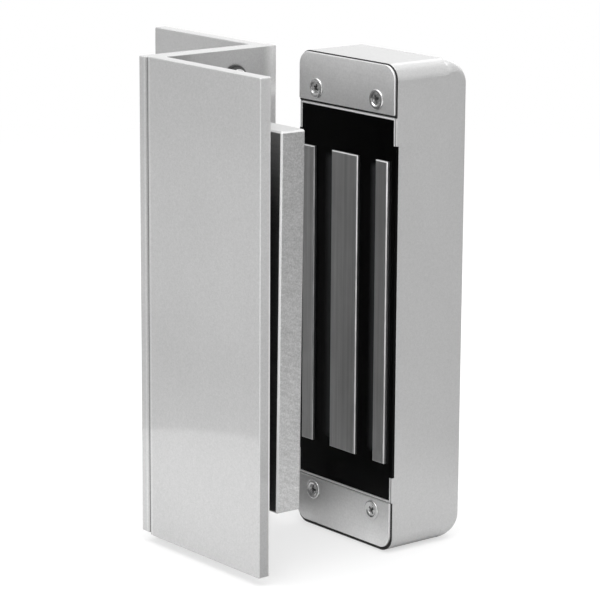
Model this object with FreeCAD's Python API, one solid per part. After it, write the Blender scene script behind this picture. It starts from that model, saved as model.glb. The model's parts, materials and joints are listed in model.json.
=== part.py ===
import FreeCAD, Part
import math
import os

from FreeCAD import Vector

# Magnetic door lock: a face-mounted electromagnet and, facing it, a steel armature plate carried
# on a Z made of two aluminium L profiles.  Millimetres, +Z up.  Origin: centre of the magnet
# housing's flat back, where it meets the door frame.  +Y is the outward normal of that back; the
# pole faces look along -Y, towards the armature.  +X is the width.
# Places along Y are given as depths: 0 at the housing's rim plane, growing towards +Y.
# A side of -1 or 1 means the lower or upper end of the housing, or the low or high side in X or Z.

# ---- magnet housing ----
WIDTH = 46.8                # X
HEIGHT = 155.0              # Z
DEPTH = 28.8                # Y, rim to back face
CORNER_R = 4.9              # four long corners, axis Y
BACK_R = 8.0                # top and bottom edges of the back, axis X
BACK_SIDE_R = 1.2           # side edges of the back, axis Z
CAVITY_SIDE_R = 0.5         # the same edges inside
WALL = 1.2
BACK_WALL = 2.0
CROSS_IN = 60.40            # core-bay face of the cross walls, from mid height
CROSS_OUT = 61.25           # end-bay face of the cross walls
CROSS_BEVEL_UPPER = 0.38    # rim bevel on the upper edge of each cross wall
CROSS_BEVEL_LOWER = 0.15
SEAT = 0.4                  # depth of the gasket seat at both ends
LAP_TOP, LAP_BOTTOM = 52.5, -53.0   # between these the resin laps over the cut-back side rims
LAP = 1.0                   # depth of the lap
LAP_INWARD = 0.5            # how far the lap strips overlap the resin's main body
RIM_EASE_R = 0.4
POST_R = 3.1                # cover screw posts
POST_X = 14.6
POST_Z = {1: 66.1, -1: -65.3}
RIB_HALF = 0.9
RIB_FRONT = 2.0
POST_HOLE_R, POST_HOLE_END = 1.75, 12.0
POST_MOUTH_R, POST_MOUTH_END = 2.45, 0.8
MOUNT_Z = 66.5              # mounting holes in the back wall, from mid height
MOUNT_R = 2.25
CABLE_X, CABLE_Z, CABLE_R = -7.4, 66.2, 3.1
CABLE_BORE_R = 2.3

# ---- core and coil ----
POLE_PROUD = 1.1            # pole faces stand this far out of the rim plane
POLE_BEVEL = 0.3
CORE_TOP, CORE_BOTTOM = 47.5, -48.8
CORE_HALF = 20.5
CENTRE_HALF = 6.3           # half width of the middle limb
SLOT_OUT = 14.9             # outer side of the coil slots
SLOT_FLOOR = 17.5
CORE_BACK = 24.0
RIVET_R = 1.5
RIVET_HEAD_R, RIVET_HEAD_T, RIVET_ROUND = 2.5, 1.0, 0.7
RIVET_DEPTH = 20.6
RIVET_XS = (-17.6, 0.0, 17.6)
FORMER_FIT = 0.1            # clearance round the middle limb
FORMER_WALL = 0.8
FORMER_FRONT, FORMER_BACK = 1.5, 17.4
FORMER_TUBE_R = 1.5
FLANGE_HALF, FLANGE_R = 14.6, 8.4
FLANGE_LIP = 0.4            # flange beyond the end turns
COIL_HALF, COIL_R = 14.2, 8.0
COIL_END = 7.4              # reach of the end turns beyond the former's tube
BORE_HALF = CENTRE_HALF + FORMER_FIT
TUBE_HALF = BORE_HALF + FORMER_WALL
BORE_TOP, BORE_BOTTOM = CORE_TOP + FORMER_FIT, CORE_BOTTOM - FORMER_FIT
TUBE_TOP, TUBE_BOTTOM = BORE_TOP + FORMER_WALL, BORE_BOTTOM - FORMER_WALL
COIL_TOP, COIL_BOTTOM = TUBE_TOP + COIL_END, TUBE_BOTTOM - COIL_END
LEAD_R = 0.6
LEAD_XS = (-3.0, 3.0)
LEAD_DEPTH = 14.0
LEAD_NOTCH_R = 0.85
SOLDER_R = 1.05

# ---- end covers, gaskets, screws ----
GASKET_GAP = 0.05           # from the cross wall
GASKET_SIDE, GASKET_CROSS, GASKET_END = 2.4, 1.6, 2.2   # frame widths
GASKET_HOLE_R = 1.5
GASKET_EAR = 1.0            # ear beyond the post
GASKET_SCREW_R = 2.85
COVER_HALF = 23.05
COVER_T = 0.7
COVER_Z = {1: (61.95, 77.15), -1: (-76.40, -61.30)}
COVER_R, COVER_INNER_R = 4.5, 0.4
COVER_BEVEL = 0.15
COUNTERSINK_R = 3.30        # at the cover's -Y face
HEAD_R = 3.18
HEAD_FRONT = -COVER_T - 0.42
HEAD_SEAT = -COVER_T + 0.04  # where the head's cone starts
HEAD_CONE = 1.2
HEAD_ROUND = 0.36
SHANK_R, SHANK_END = 1.65, 10.5
TIP_R, TIP_LENGTH = 0.5, 1.0
DISH_FRONT_R, DISH_FLOOR_R, DISH_DEEP = 2.25, 1.75, 0.22
RECESS_LENGTH, RECESS_WIDTH, RECESS_DEEP = 3.5, 1.0, 1.75
RECESS_LEAD = 0.6           # how far the recess cutter starts in front of the head
# side in X, end of the housing, angle of the cross recess in degrees
COVER_SCREWS = ((-1, 1, 32), (1, 1, 67), (-1, -1, 0), (1, -1, 48))

# ---- terminal board in the upper end bay ----
BOARD_HALF = 11.2
BOARD_FRONT, BOARD_BACK = 3.4, 24.0
BOARD_BOTTOM = CROSS_OUT + 0.35
BOARD_TOP = BOARD_BOTTOM + 1.2
BLOCK_X0, BLOCK_X1 = 4.1, 11.1
BLOCK_FRONT, BLOCK_BACK = 4.4, 10.9
BLOCK_TOP = BOARD_TOP + 8.4
BLOCK_BEVEL = 0.5
TERMINAL_XS = (BLOCK_X0 + 1.75, BLOCK_X0 + 5.25)
TERMINAL_DEPTH = 7.6
WELL_R, WELL_DEEP = 1.25, 3.2
MOUTH_HALF, MOUTH_BOTTOM, MOUTH_TOP = 1.1, 1.2, 3.6    # wire mouths, heights above the board
TERMINAL_SCREW_R, TERMINAL_SCREW_T = 1.2, 1.6
DRIVE_HALF, DRIVE_DEEP = 0.225, 0.7                    # screwdriver slot
TERMINAL_PIN_R = 0.45
PIN_BELOW = 0.2             # pins and legs reach this far below the board
SURGE_X, SURGE_DEPTH = -8.2, 9.0
SURGE_R, SURGE_T, SURGE_ROUND = 3.3, 3.0, 1.0
SURGE_Z = BOARD_TOP + 0.9 + SURGE_R
SURGE_LEG_R = 0.35
SURGE_LEG_DEPTHS = (SURGE_DEPTH - 1.6, SURGE_DEPTH + 1.6)

# ---- door side ----
T = 4.0                     # profile thickness
MID_Z = 1.7                 # mid height of the door side
PROFILE_LENGTH = 153.5
DOOR_SHORT_BOTTOM, DOOR_SHORT_TOP = 0.6, 0.3   # the door's profile is cut this much shorter
WEB_X = -36.8               # -X face of the Z's web
FRONT = -53.0               # -Y face of the front leg
FRONT_LEG, WEB, REAR_LEG = 60.5, 47.5, 55.5    # outer lengths, each with the corner
MEET_X = WEB_X + T          # where the two web leaves touch
WEB_FAR_X = WEB_X + 2 * T
REAR = FRONT + WEB          # +Y face of the rear leg
LEG_BACK = FRONT + T        # +Y face of the front leg
FRONT_FREE_X = WEB_X + FRONT_LEG
REAR_FREE_X = MEET_X - REAR_LEG
PROFILE_BOTTOM = MID_Z - PROFILE_LENGTH / 2
PROFILE_TOP = MID_Z + PROFILE_LENGTH / 2
ROOT_R, FREE_CORNER_R, DOOR_HEEL_R = 1.0, 0.5, 0.3
SLOT_TRAVEL = 10.0          # how far the armature bracket can be drawn out
WEB_SLOT_R, WEB_SLOT_SPARE = 2.25, 0.3
WEB_HOLE_R = 2.1
DOOR_SLOT_XS = (REAR_FREE_X + 13.0, REAR_FREE_X + 37.0)
DOOR_SLOT_Z, DOOR_SLOT_R, DOOR_SLOT_HALF = 60.0, 2.75, 7.5
DOOR_HOLE_X, DOOR_HOLE_Z, DOOR_HOLE_R = REAR_FREE_X + 25.0, 25.0, 2.25

# web screws, heads on +X and nuts on -X
SCREW_DEPTH = -22.0
SCREW_ZS = (MID_Z - 67.5, MID_Z + 67.5)
WASHER_R, WASHER_BORE_R, WASHER_T = 4.2, 2.2, 0.8
DOME_R, DOME_RIM, DOME_HEIGHT = 3.85, 0.5, 1.9
SOCKET_FLATS, SOCKET_FLOOR = 2.5, 0.9
SCREW_R, SCREW_END = 1.98, 5.6          # end: how far beyond the web
LOCK_R, LOCK_BORE_R, LOCK_T, LOCK_GAP = 3.6, 2.1, 1.0, 0.6
NUT_FLATS, NUT_END, NUT_BORE_R = 7.0, 4.2, 2.02
NUT_BEVEL_R, NUT_FULL_R, NUT_BEVEL = 3.2, 4.4, 1.2

# armature and its floating mount
BOLT_X, BOLT_Z = 0.0, MID_Z + 0.4
POCKET = 2.8                # depth of the blind pockets in the front leg
STANDOFF_R, STANDOFF_PROUD = 6.0, 3.9
STANDOFF_BORE_R, STANDOFF_FLOOR = 4.02, 0.4
SEAT_WASHER_R, SEAT_WASHER_T, SEAT_WASHER_FIT = 11.0, 1.0, 0.25
RUBBER_R, RUBBER_ROUND, RUBBER_FIT = 11.0, 0.5, 0.35
RUBBER_FRONT = LEG_BACK + 1.28
RUBBER_BACK = RUBBER_FRONT + 2.6
ARMATURE_WIDTH, ARMATURE_HEIGHT, ARMATURE_T = 41.8, 118.0, 9.25
ARMATURE_BEVEL = 0.55
ARMATURE = -43.4            # -Y face of the armature plate
ARMATURE_POLE = ARMATURE + ARMATURE_T   # its +Y face, towards the poles
ARMATURE_WASHER_R, ARMATURE_WASHER_T = 9.0, 1.2
BOLT_HOLE_R = 4.8
BORE_R, BORE_DEEP = 7.6, 5.8            # counterbore
PIN_ZS = (-30.0, 30.0)      # guide pins, from the bolt axis
PIN_R, PIN_POCKET_R, PIN_BEVEL = 2.5, 3.2, 0.4
PIN_FRONT = LEG_BACK - 1.2
PIN_IN_ARMATURE = 5.0
BOLT_R, BOLT_FLOOR = 3.98, 0.9
BOLT_HEAD = ARMATURE_POLE - BORE_DEEP + 0.42   # underside of the head
BOLT_HEAD_R, BOLT_HEAD_T, BOLT_HEAD_ROUND = 6.5, 4.6, 0.5
BOLT_SOCKET_FLATS, BOLT_SOCKET_FLOOR = 5.0, 1.8
LEAN = -0.62                # degrees about +X: the plate hangs out of true on its rubber

TINY = 1e-6
SIDES = (-1, 1)


# ---- helpers ----
def to_y(depth):
    return depth - DEPTH


def box(x0, x1, depth0, depth1, z0, z1):
    return Part.makeBox(x1 - x0, depth1 - depth0, z1 - z0, Vector(x0, to_y(depth0), z0))


def cylinder(axis, radius, start, end, first, second):
    """first, second: the two other coordinates in X, depth, Z order."""
    if axis == "x":
        base, along = Vector(start, to_y(first), second), Vector(1, 0, 0)
    elif axis == "y":
        base, along = Vector(first, to_y(start), second), Vector(0, 1, 0)
    else:
        base, along = Vector(first, to_y(second), start), Vector(0, 0, 1)
    return Part.makeCylinder(radius, end - start, base, along)


def cone(radius0, radius1, start, end, x, z):
    base = Vector(x, to_y(start), z)
    return Part.makeCone(radius0, radius1, end - start, base, Vector(0, 1, 0))


def rounded_plate(x0, x1, z0, z1, radii, depth0, depth1):
    """Plate across Y with a radius at each corner: (x0, z0), (x1, z0), (x1, z1), (x0, z1)."""
    bulge = 1 - math.sqrt(0.5)
    corners = ((x0, z0, 1, 1), (x1, z0, -1, 1), (x1, z1, -1, -1), (x0, z1, 1, -1))
    turns = []
    for i, (x, z, in_x, in_z) in enumerate(corners):
        radius = radii[i]
        turn = [
            Vector(x, to_y(depth0), z + in_z * radius),
            Vector(x + in_x * radius * bulge, to_y(depth0), z + in_z * radius * bulge),
            Vector(x + in_x * radius, to_y(depth0), z),
        ]
        turns.append(turn if i in (0, 2) else turn[::-1])
    edges = []
    for i, turn in enumerate(turns):
        if radii[i] > 0:
            edges.append(Part.Arc(*turn).toShape())
        edges.append(Part.makeLine(turn[2], turns[(i + 1) % 4][0]))
    return Part.Face(Part.Wire(edges)).extrude(Vector(0, depth1 - depth0, 0))


def slot(axis, start, end, radius, half, middle, z):
    """Obround along X or Y: through X it runs long in Y, through Y long in X."""
    ends = (middle - half + radius, middle + half - radius)
    spans = (start, end, *ends) if axis == "x" else (*ends, start, end)
    body = box(*spans, z - radius, z + radius)
    for place in ends:
        body = body.fuse(cylinder(axis, radius, start, end, place, z))
    return body


def hex_prism(axis, flats, start, end, first, z):
    """Hexagonal prism along X or Y, flats apart."""
    radius = flats / math.sqrt(3)
    points = []
    for i in range(6):
        angle = math.radians(60 * i + 30)
        across, up = radius * math.cos(angle), z + radius * math.sin(angle)
        if axis == "x":
            points.append(Vector(start, to_y(first) + across, up))
        else:
            points.append(Vector(first + across, to_y(start), up))
    points.append(points[0])
    length = end - start
    along = Vector(length, 0, 0) if axis == "x" else Vector(0, length, 0)
    return Part.Face(Part.makePolygon(points)).extrude(along)


def fuse(shapes):
    body = shapes[0]
    for shape in shapes[1:]:
        body = body.fuse(shape)
    return body.removeSplitter()


def cut(body, tools):
    for tool in tools:
        body = body.cut(tool)
    return body.removeSplitter()


def largest(shape):
    return max(shape.Solids, key=lambda solid: solid.Volume)


def runs_along(edge, axis):
    bounds = edge.BoundBox
    sizes = {"x": bounds.XLength, "y": bounds.YLength, "z": bounds.ZLength}
    return all(size < TINY for name, size in sizes.items() if name != axis)


def edges_in_plane(shape, axis, level):
    """Edges whose two ends lie in the plane across the axis at this level."""
    return [
        e for e in shape.Edges
        if all(abs(getattr(e.Vertexes[i].Point, axis) - level) < TINY for i in (0, -1))
    ]


# ---- housing ----
def rounded_body(inset, back, corner_r, back_r, side_r):
    """Long box from the rim to the back.  The side radius of the back runs smoothly from
    corner_r to side_r round each back corner."""
    half_x, half_z = WIDTH / 2 - inset, HEIGHT / 2 - inset
    joint = back - back_r
    front = box(-half_x, half_x, 0, joint, -half_z, half_z)
    front = front.makeFillet(corner_r, [e for e in front.Edges if runs_along(e, "y")])
    # side outline of the back part: straight up the middle, a quarter round at each end
    bulge = back_r * (1 - math.sqrt(0.5))
    outline = [
        Vector(-half_x, to_y(depth), z) for depth, z in (
            (joint, -half_z), (back - bulge, -half_z + bulge), (back, -half_z + back_r),
            (back, half_z - back_r), (back - bulge, half_z - bulge), (joint, half_z),
        )
    ]
    wire = Part.Wire([
        Part.Arc(*outline[:3]).toShape(), Part.makeLine(outline[2], outline[3]),
        Part.Arc(*outline[3:]).toShape(), Part.makeLine(outline[5], outline[0]),
    ])
    rear = Part.Face(wire).extrude(Vector(2 * half_x, 0, 0))
    # the Part::Fillet feature takes a start and an end radius for each edge
    doc = FreeCAD.newDocument("rounding")
    base = doc.addObject("Part::Feature", "base")
    base.Shape = rear
    feature = doc.addObject("Part::Fillet", "rounded")
    feature.Base = base
    radii = []
    for i, edge in enumerate(rear.Edges, 1):
        bounds = edge.BoundBox
        if bounds.XLength > TINY or bounds.YMax < to_y(joint) + TINY:
            continue
        if bounds.YLength < TINY:
            radii.append((i, side_r, side_r))
        elif edge.valueAt(edge.FirstParameter).y < edge.valueAt(edge.LastParameter).y:
            radii.append((i, corner_r, side_r))
        else:
            radii.append((i, side_r, corner_r))
    feature.Edges = radii
    doc.recompute()
    rear = feature.Shape.copy()
    FreeCAD.closeDocument(doc.Name)
    return front.fuse(rear).removeSplitter()


CAVITY = rounded_body(WALL, DEPTH - BACK_WALL, CORNER_R - WALL, BACK_R - BACK_WALL, CAVITY_SIDE_R)


def housing_shell():
    floor = DEPTH - BACK_WALL
    parts = [rounded_body(0, DEPTH, CORNER_R, BACK_R, BACK_SIDE_R).cut(CAVITY)]
    # cross walls between the core bay and the two end bays
    for z0 in (CROSS_IN, -CROSS_OUT):
        wall = box(-WIDTH / 2, WIDTH / 2, 0, DEPTH, z0, z0 + CROSS_OUT - CROSS_IN)
        parts.append(CAVITY.common(wall))
    # cover screw posts, each tied to its cross wall by a rib
    for side in SIDES:
        x = side * POST_X
        for end, post_z in POST_Z.items():
            post = cylinder("y", POST_R, SEAT, floor, x, post_z)
            z0, z1 = sorted((end * CROSS_OUT, post_z))
            rib = box(x - RIB_HALF, x + RIB_HALF, RIB_FRONT, floor, z0, z1)
            parts += [post.common(CAVITY), rib.common(CAVITY)]
    # gasket seats, then the side rims cut back for the resin lap
    tools = [
        box(-WIDTH, WIDTH, -1, SEAT, CROSS_OUT, HEIGHT),
        box(-WIDTH, WIDTH, -1, SEAT, -HEIGHT, -CROSS_OUT),
        box(-WIDTH, -WIDTH / 2 + WALL, -1, LAP, LAP_BOTTOM, LAP_TOP),
        box(WIDTH / 2 - WALL, WIDTH, -1, LAP, LAP_BOTTOM, LAP_TOP),
    ]
    # screw holes in the posts, wider at the mouth for the screw head's cone
    for side in SIDES:
        for post_z in POST_Z.values():
            tools.append(cylinder("y", POST_HOLE_R, -1, POST_HOLE_END, side * POST_X, post_z))
            tools.append(cylinder("y", POST_MOUTH_R, -1, POST_MOUTH_END, side * POST_X, post_z))
    # mounting holes and cable hole in the back wall
    for side in SIDES:
        tools.append(cylinder("y", MOUNT_R, floor - 1, DEPTH + 1, 0, side * MOUNT_Z))
    tools.append(cylinder("y", CABLE_R, floor - 1, DEPTH + 1, CABLE_X, CABLE_Z))
    # holes in the upper cross wall for the coil leads
    for x in LEAD_XS:
        tools.append(cylinder("z", LEAD_NOTCH_R, CROSS_IN - 1, CROSS_OUT + 1, x, LEAD_DEPTH))
    shell = cut(fuse(parts), tools)

    def at_rim(edge, axis):
        return runs_along(edge, axis) and abs(edge.BoundBox.YMin - to_y(0)) < TINY

    def wall_edges(levels):
        return [
            e for e in shell.Edges
            if at_rim(e, "x") and e.BoundBox.XLength > 30
            and any(abs(e.BoundBox.ZMin - z) < 1e-3 for z in levels)
        ]

    # both bevels take their edges from the unbevelled shell's successor, so one after the other
    shell = shell.makeChamfer(CROSS_BEVEL_UPPER, wall_edges((CROSS_OUT, -CROSS_IN)))
    shell = shell.makeChamfer(CROSS_BEVEL_LOWER, wall_edges((CROSS_IN, -CROSS_OUT)))
    # outer edges of the short bare side rims between lap and gasket seat
    bare_rims = [
        e for e in shell.Edges
        if at_rim(e, "z") and abs(abs(e.BoundBox.XMin) - WIDTH / 2) < TINY
        and 4 < e.BoundBox.ZLength < 12
    ]
    return shell.makeFillet(RIM_EASE_R, bare_rims)


# ---- laminated core ----
CORE_BLOCK = box(-CORE_HALF, CORE_HALF, -POLE_PROUD, CORE_BACK, CORE_BOTTOM, CORE_TOP)
CORE_SLOTS = [
    box(x0, x1, -POLE_PROUD - 1, SLOT_FLOOR, CORE_BOTTOM - 1, CORE_TOP + 1)
    for x0, x1 in ((CENTRE_HALF, SLOT_OUT), (-SLOT_OUT, -CENTRE_HALF))
]


def e_core():
    holes = [
        cylinder("z", RIVET_R, CORE_BOTTOM - 1, CORE_TOP + 1, x, RIVET_DEPTH) for x in RIVET_XS
    ]
    core = cut(CORE_BLOCK, CORE_SLOTS + holes)
    # fine bevel round the pole faces
    return core.makeChamfer(POLE_BEVEL, edges_in_plane(core, "y", to_y(-POLE_PROUD)))


def rivet(x):
    parts = [cylinder("z", RIVET_R, CORE_BOTTOM, CORE_TOP, x, RIVET_DEPTH)]
    top, bottom = CORE_TOP + RIVET_HEAD_T, CORE_BOTTOM - RIVET_HEAD_T
    for z0, z1, outer in ((CORE_TOP, top, top), (bottom, CORE_BOTTOM, bottom)):
        head = cylinder("z", RIVET_HEAD_R, z0, z1, x, RIVET_DEPTH)
        parts.append(head.makeFillet(RIVET_ROUND, edges_in_plane(head, "z", outer)))
    return fuse(parts)


RIVETS = [rivet(x) for x in RIVET_XS]


# ---- coil ----
FORMER_TUBE = rounded_plate(-TUBE_HALF, TUBE_HALF, TUBE_BOTTOM, TUBE_TOP, [FORMER_TUBE_R] * 4,
                            FORMER_FRONT, FORMER_BACK)
COIL_ENVELOPE = rounded_plate(-COIL_HALF, COIL_HALF, COIL_BOTTOM, COIL_TOP, [COIL_R] * 4,
                              FORMER_FRONT + FORMER_WALL, FORMER_BACK - FORMER_WALL)


def coil_former():
    parts = [FORMER_TUBE]
    for front in (FORMER_FRONT, FORMER_BACK - FORMER_WALL):
        parts.append(rounded_plate(
            -FLANGE_HALF, FLANGE_HALF, COIL_BOTTOM - FLANGE_LIP, COIL_TOP + FLANGE_LIP,
            [FLANGE_R] * 4, front, front + FORMER_WALL))
    bore = box(-BORE_HALF, BORE_HALF, FORMER_FRONT - 1, FORMER_BACK + 1, BORE_BOTTOM, BORE_TOP)
    return cut(fuse(parts), [bore])


FORMER = coil_former()


def coil_lead(x):
    """Lead from the end turns, through the cross wall, to a solder blob on the board."""
    rise = cylinder("z", LEAD_R, COIL_TOP, BOARD_TOP + 0.6, x, LEAD_DEPTH)
    blob = Part.makeSphere(SOLDER_R, Vector(x, to_y(LEAD_DEPTH), BOARD_TOP + 0.55))
    above_board = box(x - 2, x + 2, LEAD_DEPTH - 2, LEAD_DEPTH + 2, BOARD_TOP, BOARD_TOP + 3)
    return fuse([rise, blob.common(above_board)])


def potting_resin():
    """Fills the core bay round core and coil and laps over the side rims."""
    half = WIDTH / 2
    bay = box(-half, half, 0, DEPTH - BACK_WALL, -CROSS_IN, CROSS_IN)
    lap_in = half - WALL - LAP_INWARD
    laps = [
        box(x0, x1, 0, LAP, LAP_BOTTOM, LAP_TOP) for x0, x1 in ((-half, -lap_in), (lap_in, half))
    ]
    resin = fuse([CAVITY.common(bay)] + laps)
    bore = box(-BORE_HALF, BORE_HALF, FORMER_FRONT, FORMER_BACK, BORE_BOTTOM, BORE_TOP)
    leads = [cylinder("z", LEAD_R, COIL_TOP, CROSS_IN + 1, x, LEAD_DEPTH) for x in LEAD_XS]
    core = cut(CORE_BLOCK, CORE_SLOTS)
    return largest(cut(resin, [core, FORMER, COIL_ENVELOPE, bore] + RIVETS + leads))


# ---- end covers, gaskets, screws ----
def end_radii(inner, outer, end):
    """Plate corner radii: inner towards the core bay, outer towards the housing's end."""
    return [inner, inner, outer, outer][::end]


def cover_gasket(end):
    """Frame open over the end bay, with ears round the two posts."""
    low, high = CROSS_OUT + GASKET_GAP, HEIGHT / 2
    z0, z1 = sorted((end * low, end * high))
    plate = rounded_plate(-WIDTH / 2, WIDTH / 2, z0, z1, end_radii(0, CORNER_R, end), 0, SEAT)
    z0, z1 = sorted((end * (low + GASKET_CROSS), end * (high - GASKET_END)))
    half = WIDTH / 2 - GASKET_SIDE
    opening = rounded_plate(-half, half, z0, z1, [GASKET_HOLE_R] * 4, -1, SEAT + 1)

    def at_posts(radius):
        return [
            cylinder("y", radius, -1, SEAT + 1, side * POST_X, POST_Z[end]) for side in SIDES
        ]

    for ear in at_posts(POST_R + GASKET_EAR):
        opening = opening.cut(ear)
    return cut(plate, [largest(opening)] + at_posts(GASKET_SCREW_R))


def end_cover(end):
    radii = end_radii(COVER_INNER_R, COVER_R, end)
    plate = rounded_plate(-COVER_HALF, COVER_HALF, *COVER_Z[end], radii, -COVER_T, 0)
    plate = plate.makeChamfer(COVER_BEVEL, edges_in_plane(plate, "y", to_y(-COVER_T)))
    return cut(plate, [
        cone(COUNTERSINK_R, COUNTERSINK_R - COVER_T, -COVER_T, 0, side * POST_X, POST_Z[end])
        for side in SIDES
    ])


def cross_recess(x, z, angle):
    """Two crossed bars, tapering towards +Y."""
    bars = []
    for turn in (0, 90):
        wires = []
        for half_length, half_width, depth in (
            (RECESS_LENGTH / 2, RECESS_WIDTH / 2, HEAD_FRONT - RECESS_LEAD),
            (RECESS_LENGTH / 5, RECESS_WIDTH / 4, HEAD_FRONT + RECESS_DEEP),
        ):
            points = [
                Vector(x + i * half_length, to_y(depth), z + j * half_width)
                for i, j in ((-1, -1), (1, -1), (1, 1), (-1, 1))
            ]
            wires.append(Part.makePolygon(points + points[:1]))
        bar = Part.makeLoft(wires, True, True)
        bar.rotate(Vector(x, 0, z), Vector(0, 1, 0), turn + angle)
        bars.append(bar)
    return bars[0].fuse(bars[1])


def cover_screw(side, end, angle):
    """Raised countersunk screw: rounded rim, dished face, cross recess."""
    x, z = side * POST_X, POST_Z[end]
    rim = cylinder("y", HEAD_R, HEAD_FRONT, HEAD_SEAT, x, z)
    rim = rim.makeFillet(HEAD_ROUND, edges_in_plane(rim, "y", to_y(HEAD_FRONT)))
    cone_end = HEAD_SEAT + HEAD_CONE
    body = fuse([
        rim,
        cone(HEAD_R, HEAD_R - HEAD_CONE, HEAD_SEAT, cone_end, x, z),
        cylinder("y", SHANK_R, cone_end, SHANK_END, x, z),
        cone(SHANK_R, TIP_R, SHANK_END, SHANK_END + TIP_LENGTH, x, z),
    ])
    dish = cone(DISH_FRONT_R, DISH_FLOOR_R, HEAD_FRONT - 0.01, HEAD_FRONT + DISH_DEEP, x, z)
    return body.cut(dish).cut(cross_recess(x, z, angle))


# ---- wiring in the upper end bay ----
def terminal_board():
    board = box(-BOARD_HALF, BOARD_HALF, BOARD_FRONT, BOARD_BACK, BOARD_BOTTOM, BOARD_TOP)
    holes = [(LEAD_R + 0.1, x, LEAD_DEPTH) for x in LEAD_XS]
    holes += [(TERMINAL_PIN_R + 0.05, x, TERMINAL_DEPTH) for x in TERMINAL_XS]
    holes += [(SURGE_LEG_R + 0.05, SURGE_X, depth) for depth in SURGE_LEG_DEPTHS]
    return cut(board, [
        cylinder("z", radius, BOARD_BOTTOM - 1, BOARD_TOP + 1, x, depth)
        for radius, x, depth in holes
    ])


def terminal_block():
    block = box(BLOCK_X0, BLOCK_X1, BLOCK_FRONT, BLOCK_BACK, BOARD_TOP, BLOCK_TOP)
    block = block.makeChamfer(BLOCK_BEVEL, edges_in_plane(block, "z", BLOCK_TOP))
    tools, pins = [], []
    for x in TERMINAL_XS:
        well_floor = BLOCK_TOP - WELL_DEEP
        tools.append(cylinder("z", WELL_R, well_floor, BLOCK_TOP + 1, x, TERMINAL_DEPTH))
        tools.append(box(x - MOUTH_HALF, x + MOUTH_HALF, BLOCK_FRONT - 1, TERMINAL_DEPTH + 0.2,
                         BOARD_TOP + MOUTH_BOTTOM, BOARD_TOP + MOUTH_TOP))
        pins.append(cylinder("z", TERMINAL_PIN_R, BOARD_BOTTOM - PIN_BELOW, BOARD_TOP,
                             x, TERMINAL_DEPTH))
    return fuse([cut(block, tools)] + pins)


def terminal_screw(x):
    bottom = BLOCK_TOP - WELL_DEEP
    top = bottom + TERMINAL_SCREW_T
    head = cylinder("z", TERMINAL_SCREW_R, bottom, top, x, TERMINAL_DEPTH)
    return head.cut(box(x - 1.5, x + 1.5, TERMINAL_DEPTH - DRIVE_HALF,
                        TERMINAL_DEPTH + DRIVE_HALF, top - DRIVE_DEEP, top + 0.2))


def surge_suppressor():
    disc = cylinder("x", SURGE_R, SURGE_X - SURGE_T / 2, SURGE_X + SURGE_T / 2,
                    SURGE_DEPTH, SURGE_Z)
    disc = disc.makeFillet(SURGE_ROUND, [e for e in disc.Edges if e.BoundBox.XLength < TINY])
    return fuse([disc] + [
        cylinder("z", SURGE_LEG_R, BOARD_BOTTOM - PIN_BELOW, SURGE_Z, SURGE_X, depth)
        for depth in SURGE_LEG_DEPTHS
    ])


def cable_grommet():
    """Plug in the back wall's cable hole with a flange inside the bay."""
    inside = DEPTH - BACK_WALL
    body = fuse([
        cylinder("y", CABLE_R - 0.03, inside - 0.9, DEPTH - 0.05, CABLE_X, CABLE_Z),
        cylinder("y", CABLE_R + 0.8, inside - 1.3, inside, CABLE_X, CABLE_Z),
    ])
    return cut(body, [cylinder("y", CABLE_BORE_R, inside - 3, DEPTH + 1, CABLE_X, CABLE_Z)])


# ---- L profiles ----
def upright_edges(shape, x, depth):
    """Full-length vertical edges at this place."""
    return [
        e for e in shape.Edges
        if runs_along(e, "z") and e.BoundBox.ZLength > 100
        and abs(e.BoundBox.XMin - x) < TINY and abs(e.BoundBox.YMin - to_y(depth)) < TINY
    ]


def sawn_edges(shape):
    """Sharp edges round a profile's two ends and along the free edges of its two legs."""
    low, high = shape.BoundBox.ZMin, shape.BoundBox.ZMax
    keep = []
    for edge in shape.Edges:
        bounds = edge.BoundBox
        faces = shape.ancestorsOfType(edge, Part.Face)
        if runs_along(edge, "z"):
            if bounds.ZLength > 100 and any(
                max(f.BoundBox.XLength, f.BoundBox.YLength) < T + 0.01 for f in faces
            ):
                keep.append(edge)
        elif bounds.ZMin > high - 1.6 or bounds.ZMax < low + 1.6:
            middle = edge.valueAt((edge.FirstParameter + edge.LastParameter) / 2)
            normals = [f.normalAt(*f.Surface.parameter(middle)) for f in faces]
            if len(normals) == 2 and normals[0].getAngle(normals[1]) > 0.5:
                keep.append(edge)
    return keep


def dress_profile(profile, root, free_x, meet_radius, bevel):
    """Round the inner root (x, depth), the front edge where the webs meet and the free leg's
    corners, then bevel the sawn edges."""
    profile = profile.makeFillet(ROOT_R, upright_edges(profile, *root))
    profile = profile.makeFillet(meet_radius, upright_edges(profile, MEET_X, FRONT))
    free_corners = [
        e for e in profile.Edges
        if runs_along(e, "y") and abs(e.BoundBox.XMin - free_x) < 1e-3 and e.BoundBox.YLength > 2
    ]
    profile = profile.makeFillet(FREE_CORNER_R, free_corners)
    return profile.makeChamfer(bevel, sawn_edges(profile))


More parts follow.
